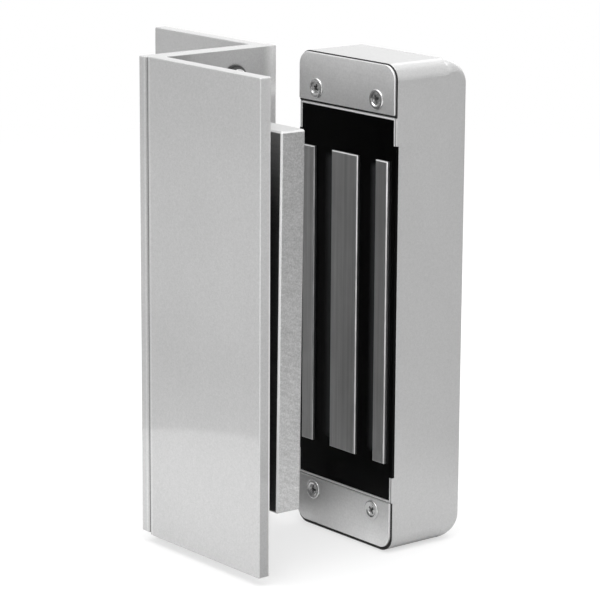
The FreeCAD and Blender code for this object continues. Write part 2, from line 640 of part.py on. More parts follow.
def door_bracket():
    """Profile on the door: outer web leaf and rear leg."""
    z0, z1 = PROFILE_BOTTOM + DOOR_SHORT_BOTTOM, PROFILE_TOP - DOOR_SHORT_TOP
    leg_front = REAR - T
    bracket = fuse([
        box(WEB_X, MEET_X, FRONT, REAR, z0, z1),
        box(REAR_FREE_X, MEET_X, leg_front, REAR, z0, z1),
    ])
    bracket = dress_profile(bracket, (WEB_X, leg_front), REAR_FREE_X, 0.45, 0.15)
    bracket = bracket.makeFillet(DOOR_HEEL_R, upright_edges(bracket, MEET_X, REAR))
    travel = SLOT_TRAVEL / 2
    tools = [
        slot("x", WEB_X - 1, MEET_X + 1, WEB_SLOT_R, travel + WEB_SLOT_R + WEB_SLOT_SPARE,
             SCREW_DEPTH - travel, z)
        for z in SCREW_ZS
    ]
    for x in DOOR_SLOT_XS:
        for side in SIDES:
            tools.append(slot("y", leg_front - 1, REAR + 1, DOOR_SLOT_R, DOOR_SLOT_HALF,
                              x, MID_Z + side * DOOR_SLOT_Z))
    for side in SIDES:
        tools.append(cylinder("y", DOOR_HOLE_R, leg_front - 1, REAR + 1,
                              DOOR_HOLE_X, MID_Z + side * DOOR_HOLE_Z))
    return cut(bracket, tools)


def on_bolt(radius, start, end, up=0.0):
    """Cylinder along Y on the armature bolt's axis, or this far above it."""
    return cylinder("y", radius, start, end, BOLT_X, BOLT_Z + up)


def armature_bracket():
    """Profile that carries the armature: inner web leaf and front leg, with blind pockets for
    the stand-off and the guide pins."""
    bracket = fuse([
        box(MEET_X, WEB_FAR_X, FRONT, REAR, PROFILE_BOTTOM, PROFILE_TOP),
        box(MEET_X, FRONT_FREE_X, FRONT, LEG_BACK, PROFILE_BOTTOM, PROFILE_TOP),
    ])
    bracket = dress_profile(bracket, (WEB_FAR_X, LEG_BACK), FRONT_FREE_X, 0.7, 0.18)
    tools = [
        cylinder("x", WEB_HOLE_R, MEET_X - 1, WEB_FAR_X + 1, SCREW_DEPTH, z) for z in SCREW_ZS
    ]
    tools.append(on_bolt(STANDOFF_R, LEG_BACK - POCKET, LEG_BACK + 1))
    tools += [on_bolt(PIN_POCKET_R, LEG_BACK - POCKET, LEG_BACK + 1, up) for up in PIN_ZS]
    return cut(bracket, tools)


# ---- web screws ----
def on_screw(radius, x0, x1, z):
    return cylinder("x", radius, x0, x1, SCREW_DEPTH, z)


def web_screw(z):
    """Domed socket head on the washer, shank through both web leaves."""
    under = WEB_FAR_X + WASHER_T
    dome_base = under + DOME_RIM
    ball_r = (DOME_R ** 2 + DOME_HEIGHT ** 2) / (2 * DOME_HEIGHT)
    centre = Vector(dome_base + DOME_HEIGHT - ball_r, to_y(SCREW_DEPTH), z)
    cap = on_screw(DOME_R * 1.0001, dome_base, dome_base + DOME_HEIGHT + 1, z)
    dome = Part.makeSphere(ball_r, centre).common(cap)
    head = fuse([on_screw(DOME_R, under, dome_base, z), dome])
    head = head.cut(hex_prism("x", SOCKET_FLATS, under + SOCKET_FLOOR, under + 4, SCREW_DEPTH, z))
    return fuse([head, on_screw(SCREW_R, WEB_X - SCREW_END, under, z)])


def web_washer(z):
    ring = on_screw(WASHER_R, WEB_FAR_X, WEB_FAR_X + WASHER_T, z)
    return ring.cut(on_screw(WASHER_BORE_R, WEB_FAR_X - 1, WEB_FAR_X + 2, z))


def web_lock_washer(z):
    """Ring split at the top."""
    ring = on_screw(LOCK_R, WEB_X - LOCK_T, WEB_X, z)
    ring = ring.cut(on_screw(LOCK_BORE_R, WEB_X - 2, WEB_X + 1, z))
    return ring.cut(box(WEB_X - 1.5, WEB_X + 0.5, SCREW_DEPTH - LOCK_GAP / 2,
                        SCREW_DEPTH + LOCK_GAP / 2, z + 1, z + 5))


def web_nut(z):
    """Hexagon nut, corners bevelled on its -X side."""
    x = WEB_X - NUT_END
    nut = hex_prism("x", NUT_FLATS, x, WEB_X - LOCK_T, SCREW_DEPTH, z)
    bevel = Part.makeCone(NUT_BEVEL_R, NUT_FULL_R, NUT_BEVEL,
                          Vector(x, to_y(SCREW_DEPTH), z), Vector(1, 0, 0))
    bevel = bevel.fuse(on_screw(NUT_FULL_R, x + NUT_BEVEL, WEB_X, z))
    return nut.common(bevel).cut(on_screw(NUT_BORE_R, WEB_X - 6, WEB_X, z))


# ---- armature and its floating mount ----
def lean(shape):
    """Tilt a part about the middle of the rubber washer."""
    pivot = Vector(BOLT_X, to_y((RUBBER_FRONT + RUBBER_BACK) / 2), BOLT_Z)
    shape.rotate(pivot, Vector(1, 0, 0), LEAN)
    return shape


def bolt_standoff():
    """Threaded seat for the armature bolt, let into the +Y face of the front leg."""
    floor = LEG_BACK - POCKET
    body = on_bolt(STANDOFF_R, floor, LEG_BACK + STANDOFF_PROUD)
    return cut(body, [on_bolt(STANDOFF_BORE_R, floor + STANDOFF_FLOOR, LEG_BACK + 6)])


def seat_washer():
    ring = on_bolt(SEAT_WASHER_R, LEG_BACK, LEG_BACK + SEAT_WASHER_T)
    return cut(ring, [on_bolt(STANDOFF_R + SEAT_WASHER_FIT, LEG_BACK - 1, LEG_BACK + 2)])


def rubber_washer():
    ring = on_bolt(RUBBER_R, RUBBER_FRONT, RUBBER_BACK)
    ring = ring.makeFillet(RUBBER_ROUND, [e for e in ring.Edges if e.BoundBox.YLength < TINY])
    return cut(ring, [on_bolt(STANDOFF_R + RUBBER_FIT, RUBBER_FRONT - 1, RUBBER_BACK + 1)])


def armature_washer():
    ring = on_bolt(ARMATURE_WASHER_R, ARMATURE - ARMATURE_WASHER_T, ARMATURE)
    return lean(cut(ring, [on_bolt(BOLT_HOLE_R, ARMATURE - 3, ARMATURE + 1)]))


def armature_plate():
    """Plate with a counterbored bolt hole and blind holes for the guide pins."""
    half_x, half_z = ARMATURE_WIDTH / 2, ARMATURE_HEIGHT / 2
    plate = box(BOLT_X - half_x, BOLT_X + half_x, ARMATURE, ARMATURE_POLE,
                BOLT_Z - half_z, BOLT_Z + half_z)
    plate = plate.makeChamfer(ARMATURE_BEVEL, plate.Edges)
    tools = [
        on_bolt(BOLT_HOLE_R, ARMATURE - 1, ARMATURE_POLE + 1),
        on_bolt(BORE_R, ARMATURE_POLE - BORE_DEEP, ARMATURE_POLE + 1),
    ]
    tools += [on_bolt(PIN_R, ARMATURE - 1, ARMATURE + PIN_IN_ARMATURE, up) for up in PIN_ZS]
    return lean(cut(plate, tools))


def guide_pin(up):
    pin = on_bolt(PIN_R, PIN_FRONT, ARMATURE + PIN_IN_ARMATURE, up)
    return pin.makeChamfer(PIN_BEVEL, edges_in_plane(pin, "y", to_y(PIN_FRONT)))


def armature_bolt():
    """Low socket head in the counterbore, shank in the stand-off."""
    top = BOLT_HEAD + BOLT_HEAD_T
    head = on_bolt(BOLT_HEAD_R, BOLT_HEAD, top)
    head = head.makeFillet(BOLT_HEAD_ROUND, edges_in_plane(head, "y", to_y(top)))
    head = head.cut(hex_prism("y", BOLT_SOCKET_FLATS, BOLT_HEAD + BOLT_SOCKET_FLOOR,
                              BOLT_HEAD + 6, BOLT_X, BOLT_Z))
    return fuse([head, on_bolt(BOLT_R, LEG_BACK - POCKET + BOLT_FLOOR, BOLT_HEAD)])


def each(make, places):
    return Part.makeCompound([make(place) for place in places])


PARTS = {
    "housing_shell": housing_shell(),
    "e_core": e_core(),
    "core_rivets": Part.makeCompound(RIVETS),
    "coil_former": FORMER,
    "coil_winding": cut(COIL_ENVELOPE, [FORMER_TUBE]),
    "coil_leads": each(coil_lead, LEAD_XS),
    "potting_resin": potting_resin(),
    "upper_end_cover": end_cover(1),
    "lower_end_cover": end_cover(-1),
    "upper_cover_gasket": cover_gasket(1),
    "lower_cover_gasket": cover_gasket(-1),
    "cover_screws": Part.makeCompound([cover_screw(*row) for row in COVER_SCREWS]),
    "terminal_board": terminal_board(),
    "terminal_block": terminal_block(),
    "terminal_screws": each(terminal_screw, TERMINAL_XS),
    "surge_suppressor": surge_suppressor(),
    "cable_grommet": cable_grommet(),
    "door_bracket": door_bracket(),
    "armature_bracket": armature_bracket(),
    "web_screws": each(web_screw, SCREW_ZS),
    "web_washers": each(web_washer, SCREW_ZS),
    "web_lock_washers": each(web_lock_washer, SCREW_ZS),
    "web_nuts": each(web_nut, SCREW_ZS),
    "bolt_standoff": bolt_standoff(),
    "seat_washer": seat_washer(),
    "rubber_washer": rubber_washer(),
    "armature_washer": armature_washer(),
    "armature_plate": armature_plate(),
    "guide_pins": lean(each(guide_pin, PIN_ZS)),
    "armature_bolt": armature_bolt(),
}
os.makedirs("parts", exist_ok=True)
for name, shape in PARTS.items():
    shape.exportStep("parts/" + name + ".step")
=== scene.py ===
"""Finishes, floor, light and camera for an electromagnet and its armature plate.

Metres, +Z up: x runs left to right, -y is the front.  The long legs, the poles and the plate
stand upright.  The CAD pieces keep their shapes; each gets the procedural finish of its slot.
"""
import json
import math

import bpy
from mathutils import Matrix, Vector


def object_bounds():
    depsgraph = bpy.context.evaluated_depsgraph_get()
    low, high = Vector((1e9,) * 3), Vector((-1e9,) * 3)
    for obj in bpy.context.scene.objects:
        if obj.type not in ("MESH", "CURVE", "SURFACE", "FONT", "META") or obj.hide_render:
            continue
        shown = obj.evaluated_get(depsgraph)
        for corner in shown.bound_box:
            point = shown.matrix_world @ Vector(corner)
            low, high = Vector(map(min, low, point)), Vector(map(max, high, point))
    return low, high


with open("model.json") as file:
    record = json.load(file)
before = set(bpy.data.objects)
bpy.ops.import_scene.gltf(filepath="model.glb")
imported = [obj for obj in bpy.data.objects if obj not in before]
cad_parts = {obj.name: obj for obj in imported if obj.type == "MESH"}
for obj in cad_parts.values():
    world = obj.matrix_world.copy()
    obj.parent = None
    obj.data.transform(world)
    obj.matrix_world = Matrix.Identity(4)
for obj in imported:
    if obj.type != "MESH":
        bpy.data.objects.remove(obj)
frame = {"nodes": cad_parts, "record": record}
cad_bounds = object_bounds()

NODES = frame["nodes"]
SLOT_OF = {part["node"]: part["material_slot"] for part in frame["record"]["subparts"]}
WHITE = (1.0, 1.0, 1.0)
FALLING = (1.0, 0.0)
FLOOR_GAP = 0.0003          # between the lowest point and the floor
FLOOR_RADIUS = 14.0


# ----------------------------------------------------------------------------------------------
# shader-building helpers
# ----------------------------------------------------------------------------------------------
class Shader:
    """The node tree of a material or world.  Patterns lie in object coordinates, in metres."""

    def __init__(self, block, output="ShaderNodeOutputMaterial"):
        self.block = block
        block.use_nodes = True
        self.tree = block.node_tree
        self.tree.nodes.clear()
        self.out = self.node(output)
        self.coords = self.node("ShaderNodeTexCoord").outputs
        self.place = self.coords["Object"]

    def node(self, kind, inputs=(), **props):
        """A node with its properties set, and its inputs filled by name or number."""
        made = self.tree.nodes.new(kind)
        for key, value in props.items():
            setattr(made, key, value)
        for key, value in dict(inputs).items():
            self.put(made.inputs[key], value)
        return made

    def put(self, socket, value):
        if isinstance(value, bpy.types.NodeSocket):
            self.tree.links.new(value, socket)
        elif value is not None:
            socket.default_value = value

    # arithmetic
    def math(self, operation, *values, clamp=False):
        inputs = enumerate(values)
        return self.node("ShaderNodeMath", inputs, operation=operation, use_clamp=clamp).outputs[0]

    def add(self, a, b):
        return self.math("ADD", a, b)

    def sub(self, a, b, clamp=False):
        return self.math("SUBTRACT", a, b, clamp=clamp)

    def mul(self, a, b, clamp=False):
        return self.math("MULTIPLY", a, b, clamp=clamp)

    def mul_add(self, a, b, c):
        return self.math("MULTIPLY_ADD", a, b, c)

    def max(self, a, b):
        return self.math("MAXIMUM", a, b)

    def abs(self, a):
        return self.math("ABSOLUTE", a)

    def above(self, a, limit):
        return self.math("GREATER_THAN", a, limit)

    def below(self, a, limit):
        return self.math("LESS_THAN", a, limit)

    def hypot(self, a, b):
        return self.math("SQRT", self.add(self.mul(a, a), self.mul(b, b)))

    def plus(self, base, signal, share):
        return self.add(base, self.mul(signal, share))

    def vector(self, operation, *values, output="Vector"):
        made = self.node("ShaderNodeVectorMath", enumerate(values), operation=operation)
        return made.outputs[output]

    def dot(self, a, b):
        return self.vector("DOT_PRODUCT", a, b, output="Value")

    def xyz(self, vector):
        return self.node("ShaderNodeSeparateXYZ", {0: vector}).outputs

    # mixing and mapping
    def mix(self, mask, a, b):
        return self.node("ShaderNodeMix", {0: mask, 2: a, 3: b}, data_type="FLOAT").outputs[0]

    def mix_colour(self, mask, a, b):
        return self.node("ShaderNodeMix", {0: mask, 6: a, 7: b}, data_type="RGBA").outputs[2]

    def mix_shader(self, mask, a, b):
        return self.node("ShaderNodeMixShader", {0: mask, 1: a, 2: b}).outputs[0]

    def lay(self, tone, top, mask, share):
        """Lay top over tone where the mask is set, at this share of full cover."""
        return self.mix(self.mul(mask, share), tone, top)

    def shade(self, tone, mask, factor):
        """Multiply tone by factor where the mask is set."""
        return self.mul(tone, self.mix(mask, 1.0, factor))

    def ramp(self, value, over, to=(0.0, 1.0), kind="SMOOTHSTEP"):
        inputs = enumerate((value, *over, *to))
        return self.node("ShaderNodeMapRange", inputs, interpolation_type=kind).outputs[0]

    def band(self, value, rise, fall):
        """1 between the rising and the falling span, 0 outside them."""
        return self.mul(self.ramp(value, over=rise), self.ramp(value, over=fall, to=FALLING))

    def grey(self, base, *signals):
        """A tone that each (signal, amount) scales from 1 - amount to 1 + amount."""
        tone = base
        for signal, amount in signals:
            tone = self.mul(tone, self.mul_add(signal, 2 * amount, 1 - amount))
        return tone

    def colour(self, tone, tint=WHITE):
        channels = enumerate([self.mul(tone, part) for part in tint])
        return self.node("ShaderNodeCombineColor", channels).outputs[0]

    # patterns; stretch multiplies the coordinates, so a low factor draws the pattern out
    def stretched(self, factors):
        return self.vector("MULTIPLY", self.place, factors) if factors else self.place

    def noise(self, scale=1.0, detail=2, rough=0.55, warp=0.0, stretch=None, at=None):
        return self.node("ShaderNodeTexNoise", {
            "Vector": at or self.stretched(stretch), "Scale": scale, "Detail": detail,
            "Roughness": rough, "Distortion": warp}, noise_dimensions="3D").outputs["Fac"]

    def cell_distance(self, scale):
        inputs = {"Vector": self.place, "Scale": scale}
        return self.node("ShaderNodeTexVoronoi", inputs, feature="F1").outputs["Distance"]

    def wave(self, scale, axis, warp=0.0, detail=0, detail_scale=1.0, stretch=None):
        return self.node("ShaderNodeTexWave", {
            "Vector": self.stretched(stretch), "Scale": scale, "Distortion": warp,
            "Detail": detail, "Detail Scale": detail_scale},
            wave_type="BANDS", bands_direction=axis, wave_profile="SIN").outputs["Fac"]

    # surface
    def bump(self, height, depth, strength, over=None):
        return self.node("ShaderNodeBump", {
            "Strength": strength, "Distance": depth, "Height": height, "Normal": over}).outputs[0]

    def rounded(self, radius, samples=4):
        return self.node("ShaderNodeBevel", {"Radius": radius}, samples=samples).outputs[0]

    def edge(self, rounded_normal, gain):
        """0 on flats, rising to 1 where the rounded normal leans away from the shading normal."""
        normal = self.node("ShaderNodeNewGeometry").outputs["Normal"]
        return self.mul(self.sub(1.0, self.dot(rounded_normal, normal)), gain, clamp=True)

    def face_normal(self):
        return self.node("ShaderNodeNewGeometry").outputs["True Normal"]

    def bevel_face(self, square=0.93):
        """1 on faces at an angle to all three axes, such as chamfers, 0 on square faces."""
        x, y, z = self.xyz(self.vector("ABSOLUTE", self.face_normal()))
        return self.below(self.max(self.max(x, y), z), square)

    def hollow(self, distance, samples=4, own_only=True):
        """Rises to 1 in corners; own_only leaves other pieces out of account."""
        inputs = {"Distance": distance}
        made = self.node("ShaderNodeAmbientOcclusion", inputs, samples=samples, only_local=own_only)
        return self.sub(1.0, made.outputs["AO"], clamp=True)

    def ray(self, kind):
        return self.node("ShaderNodeLightPath").outputs["Is %s Ray" % kind]

    def closure(self, kind, **inputs):
        named = {key.replace("_", " "): value for key, value in inputs.items()}
        return self.node(kind, named).outputs[0]

    def finish(self, **inputs):
        self.put(self.out.inputs["Surface"], self.closure("ShaderNodeBsdfPrincipled", **inputs))
        return self.block


def material(name):
    return Shader(bpy.data.materials.new(name))


# ----------------------------------------------------------------------------------------------
# finishes
# ----------------------------------------------------------------------------------------------
def window_rim_highlights(mat, tone, grit):
    """Painted highlight on the narrow rims that border the housing's window, fading to painted
    shade across the side rims.
    """
    front_y, half_width, half_height = -0.0283, 0.0222, 0.0598
    side_x = 0.0220
    side_fade = (0.02255, 0.02285)
    rim_highlight = 0.93
    x, y, z = mat.xyz(mat.place)
    _, normal_y, _ = mat.xyz(mat.face_normal())
    front = mat.below(y, front_y)
    off_x, off_z = mat.abs(x), mat.abs(z)
    bar = mat.mul(mat.below(off_x, half_width), mat.above(off_z, half_height))
    bar = mat.mul(front, bar)
    side = mat.mul(mat.below(normal_y, -0.9), mat.above(off_x, side_x))
    side = mat.mul(front, side)
    # painted highlight on the bars; on the side rims it fades from the inner edge to painted shade
    tone = mat.mix(bar, tone, mat.grey(rim_highlight, (grit, 0.08)))
    return mat.mix(side, tone, mat.ramp(off_x, over=side_fade, to=(rim_highlight, 0.34)))


def bracket_painted_light(mat, tone, _grit):
    """Painted shade and painted highlights on the bracket."""
    leg_x = 0.018               # the front leg lies to the right of this
    arris_y = (-0.0785, -0.0782)
    margin = (-0.0400, -0.0355)  # y span where the leaf's rear margin begins
    web_y, web_joint_x = -0.0800, -0.0328
    x, y, z = mat.xyz(mat.place)
    normal_x, normal_y, _ = mat.xyz(mat.face_normal())
    faces_right = mat.above(normal_x, 0.9)

    # leaf between the two halves: painted shade low down; in direct view only, painted shade over
    # its front part and a painted highlight along its rear margin
    leaf = mat.mul(faces_right, mat.below(x, 0.0))
    tone = mat.shade(tone, leaf, mat.ramp(z, over=(-0.065, -0.030), to=(0.62, 1.0)))
    leaf = mat.mul(leaf, mat.ray("Camera"))
    leaf_shade = mat.mul(mat.ramp(y, over=margin, to=FALLING),
                   mat.ramp(y, over=(-0.065, -0.042), to=(1.20, 1.0)))
    tone = mat.shade(tone, mat.mul(leaf_shade, leaf), factor=0.70)
    margin_highlight = mat.mul(mat.ramp(y, over=margin), leaf)
    tone = mat.shade(tone, margin_highlight, mat.ramp(z, over=(0.062, 0.070), to=(1.80, 1.25)))

    # right-hand end face of the front leg: painted shade low down and painted highlight higher up,
    # and a painted highlight along its arris
    end = mat.mul(mat.above(normal_x, 0.9), mat.above(x, leg_x))
    tone = mat.shade(tone, end, mat.mul(
        mat.ramp(z, over=(-0.062, -0.018), to=(0.59, 0.95)),
        mat.ramp(z, over=(-0.020, 0.050), to=(1.0, 1.16))))
    arris_highlight = mat.mul(mat.above(normal_x, 0.5), mat.ramp(y, over=arris_y))
    arris_highlight = mat.mul(mat.above(x, leg_x), arris_highlight)
    tone = mat.mix(arris_highlight, tone, mat.mul(
        mat.ramp(z, over=(-0.060, -0.030), to=(0.66, 0.90)),
        mat.ramp(z, over=(0.000, 0.060), to=(1.0, 0.72))))

    # front of the webs: painted highlight at mid height, painted shade in the groove where the two
    # webs meet, and a painted highlight on either side of it
    front = mat.mul(mat.below(y, web_y), mat.below(normal_y, -0.3))
    mid_highlight = mat.band(z, rise=(-0.015, 0.012), fall=(0.040, 0.062))
    tone = mat.mul(tone, mat.mul_add(mat.mul(mid_highlight, 0.07), front, 1.0))
    across = mat.sub(x, web_joint_x)
    groove_shade = mat.band(across, rise=(-0.00075, -0.00035), fall=(0.00035, 0.00095))
    groove_shade = mat.mul(groove_shade, mat.ramp(z, over=(-0.055, 0.025), to=(0.10, 0.38)))
    lines = mat.add(mat.band(across, rise=(-0.0018, -0.0014), fall=(-0.0011, -0.0008)),
                    mat.band(across, rise=(0.0008, 0.0011), fall=(0.0014, 0.0018)))
    change = mat.add(mat.mul(groove_shade, -1.0), mat.mul(lines, 0.16))
    return mat.mul(tone, mat.mul_add(change, front, 1.0))


def silver_paint(name, base, metallic, rough, peel, grain, seam, coat, marks):
    """Silver-grey enamel: fine flake, slight orange peel, handling haze, rubbed edges with a
    painted highlight.

    peel scales the orange peel, grain the flake, and the argument after grain the painted shade
    in close joints; marks is the function that lays the piece's own painted highlights and shade.
    """
    mat = material(name)
    normal = mat.rounded(radius=0.00035, samples=6)
    edge_patches = mat.ramp(mat.noise(scale=900, detail=3, rough=0.6), over=(0.40, 0.62))
    edge = mat.mul(mat.edge(normal, gain=2.2), edge_patches, clamp=True)
    flake = mat.noise(scale=3000, detail=1, rough=0.5)
    grit = mat.noise(scale=1250, rough=0.7)
    cloud = mat.noise(scale=26, detail=3, rough=0.5, warp=0.6)
    haze = mat.noise(scale=75, detail=4, rough=0.6, warp=0.4, stretch=(1, 1, 0.45))
    tone = mat.grey(base, (flake, grain), (grit, grain), (cloud, 0.035), (haze, 0.02))
    # edges lightened by rubbing, which also lays a painted highlight along them
    tone = mat.lay(tone, 0.86, mask=edge, share=0.5)
    # painted shade in close joints and where pieces lie close
    shade_from_hollow = mat.hollow(distance=0.0014, samples=8, own_only=False)
    tone = mat.shade(tone, mat.ramp(shade_from_hollow, over=(0.10, 0.42)), factor=1.0 - seam)
    # the piece's own painted highlights and painted shade
    tone = marks(mat, tone, grit)

    # a few hairline rubs, mostly upright
    line = mat.noise(detail=1, rough=0.5, stretch=(2400, 2400, 22))
    patches = mat.ramp(mat.noise(scale=48), over=(0.60, 0.72))
    rub = mat.mul(mat.ramp(line, over=(0.70, 0.76)), patches)
    gloss = mat.plus(mat.mul_add(haze, 0.10, rough - 0.05), rub, share=0.06)
    gloss = mat.mix(edge, gloss, rough * 0.75)
    skin = mat.noise(scale=620, rough=0.45)
    relief = mat.bump(skin, depth=0.00008 * peel, strength=0.35, over=normal)
    scratches = mat.add(mat.mul(grit, 0.6), mat.mul(rub, -0.4))
    relief = mat.bump(scratches, depth=0.000012, strength=0.5, over=relief)
    swell = mat.noise(scale=210, rough=0.5)
    coat_relief = mat.bump(swell, depth=0.00005 * peel, strength=0.5, over=normal)
    return mat.finish(Base_Color=mat.colour(tone), Metallic=metallic, Roughness=gloss,
                      Normal=relief, Coat_Normal=coat_relief, **coat)


def satin_sheet(name, base, rough):
    """Satin-rolled sheet: very fine grain across the width, wipe marks, bright sheared edge."""
    mat = material(name)
    normal = mat.rounded(radius=0.00018, samples=6)
    edge = mat.edge(normal, gain=2.6)
    fine = mat.noise(rough=0.6, stretch=(260, 2500, 5200))
    wide = mat.noise(rough=0.5, stretch=(60, 700, 1500))
    wipe = mat.noise(scale=110, detail=4, rough=0.65, warp=1.2, stretch=(1.2, 1, 0.7))
    blotch = mat.noise(scale=60, detail=3, rough=0.5)
    grit = mat.noise(scale=1400, rough=0.7)
    tone = mat.grey(base, (fine, 0.045), (wide, 0.035), (blotch, 0.06), (wipe, 0.04),
                    (grit, 0.12))
    # a painted reflection on the lower strip: darker towards its left end, lighter in the middle, a
    # little less light at its right end
    x, _, z = mat.xyz(mat.place)
    painted_reflection_tone = mat.mul(mat.ramp(x, over=(-0.0145, 0.008), to=(0.76, 1.10)),
                      mat.ramp(x, over=(0.013, 0.021), to=(1.0, 0.92)))
    tone = mat.shade(tone, mat.below(z, 0.0), painted_reflection_tone)
    tone = mat.lay(tone, 0.85, mask=edge, share=0.7)
    gloss = mat.plus(rough - 0.07, wipe, share=0.14)
    gloss = mat.plus(gloss, fine, share=0.04)
    gloss = mat.mix(edge, gloss, 0.22)
    relief = mat.bump(fine, depth=0.000006, strength=0.7, over=normal)
    relief = mat.bump(wide, depth=0.00001, strength=0.5, over=relief)
    return mat.finish(Base_Color=mat.colour(tone), Metallic=0.92, Roughness=gloss,
                      Normal=relief)


def ground_poles(name):
    """Ground lamination stack: long grinding marks on pole faces, sheared sheets on flanks."""
    mat = material(name)
    normal = mat.rounded(radius=0.00018, samples=6)
    edge = mat.edge(normal, gain=2.5)
    on_face = mat.ramp(mat.abs(mat.xyz(mat.face_normal())[1]), over=(0.55, 0.95))
    fine = mat.noise(detail=3, rough=0.65, stretch=(4200, 4200, 45))
    wide = mat.noise(rough=0.5, stretch=(850, 850, 9))
    deep = mat.noise(detail=1, rough=0.5, stretch=(2600, 2600, 14))
    deep = mat.ramp(deep, over=(0.66, 0.78))
    blotch = mat.noise(scale=70, detail=3, rough=0.6, warp=0.5, stretch=(1, 1, 0.5))
    sheets = mat.wave(scale=630, axis="Z", warp=0.6, detail=1, detail_scale=0.4)
    tone = mat.grey(0.53, (fine, 0.24), (wide, 0.28), (blotch, 0.20))
    tone = mat.sub(tone, mat.mul(deep, 0.05))
    x, _, z = mat.xyz(mat.place)
    # painted shade: the pole faces a little darker towards their upper ends
    tone = mat.mul(tone, mat.ramp(z, over=(0.015, 0.042), to=(1.0, 0.86)))
    # flanks in painted shade, lighter on the right pole
    flank_shade = mat.ramp(x, over=(0.008, 0.013), to=(0.16, 0.40))
    speckle = mat.noise(scale=2200, rough=0.6)
    flank = mat.mul(flank_shade, mat.grey(1.0, (sheets, 0.10), (blotch, 0.08), (speckle, 0.06)))
    tone = mat.mix(on_face, flank, tone)
    edge = mat.max(edge, mat.bevel_face())
    # painted light on the arrises: dim along the poles but brighter at their upper ends, a bright
    # painted highlight across the ends
    across = mat.ramp(mat.abs(mat.xyz(mat.face_normal())[2]), over=(0.15, 0.30))
    edge_patches = mat.noise(scale=260, detail=3, rough=0.65, stretch=(1, 1, 0.4))
    edge_patches = mat.ramp(edge_patches, over=(0.30, 0.70), to=(0.80, 1.25))
    arris_highlight = mat.mul(mat.ramp(z, over=(0.010, 0.050), to=(0.40, 0.62)), edge_patches)
    arris_highlight = mat.mul(mat.mix(across, arris_highlight, 0.88), mat.grey(1.0, (fine, 0.10)))
    tone = mat.lay(tone, arris_highlight, mask=edge, share=0.9)
    gloss = mat.mix(edge, mat.plus(0.30, fine, share=0.16), 0.3)
    height = mat.mix(on_face, mat.mul(sheets, 0.7), mat.sub(fine, deep))
    relief = mat.bump(height, depth=0.000014, strength=0.7, over=normal)
    relief = mat.bump(wide, depth=0.00001, strength=0.5, over=relief)
    return mat.finish(Base_Color=mat.colour(tone), Metallic=0.95, Roughness=gloss,
                      Normal=relief)


def black_resin(name):
    """Cast black epoxy: glossy, gently rippled skin, the odd pinhole and dust fleck."""
    mat = material(name)
    swell = mat.noise(scale=130, rough=0.5, stretch=(1, 1, 0.22))
    ripple = mat.noise(scale=420, rough=0.45, stretch=(1, 1, 0.4))
    pits = mat.ramp(mat.cell_distance(scale=330), over=(0.0, 0.06), to=FALLING)
    pits = mat.mul(pits, mat.ramp(mat.noise(scale=160, detail=1), over=(0.56, 0.64)))
    dust = mat.mul(mat.ramp(mat.noise(scale=2300, rough=0.7), over=(0.69, 0.78)),
                   mat.ramp(mat.noise(scale=90), over=(0.42, 0.66)))
    tone = mat.mix(dust, mat.grey(0.0010, (swell, 0.25), (ripple, 0.15)), 0.03)
    # a painted reflection: a thin pale haze along the left side of the middle and right poles
    x, _, z = mat.xyz(mat.place)
    haze = mat.add(*[mat.mul(mat.ramp(x, over=fade), mat.below(x, pole_x))
                     for fade, pole_x in (((-0.0112, -0.0072), -0.0062),
                                          ((0.0108, 0.0142), 0.0150))])
    haze = mat.mul(haze, mat.ramp(mat.abs(z), over=(0.044, 0.047), to=FALLING))
    tone = mat.plus(tone, haze, share=0.032)
    gloss = mat.plus(0.16, mat.noise(scale=240, detail=3, rough=0.6), share=0.14)
    gloss = mat.mix(dust, gloss, 0.6)
    relief = mat.bump(swell, depth=0.00035, strength=0.35)
    relief = mat.bump(ripple, depth=0.00006, strength=0.35, over=relief)
    relief = mat.bump(pits, depth=0.00012, strength=-0.6, over=relief)
    sheen = mat.ramp(mat.xyz(mat.place)[2], over=(0.030, 0.055), to=(0.08, 0.035))
    return mat.finish(Base_Color=mat.colour(tone, tint=(0.98, 0.99, 1.04)), Metallic=0.0,
                      Roughness=gloss, Normal=relief, Specular_IOR_Level=sheen)


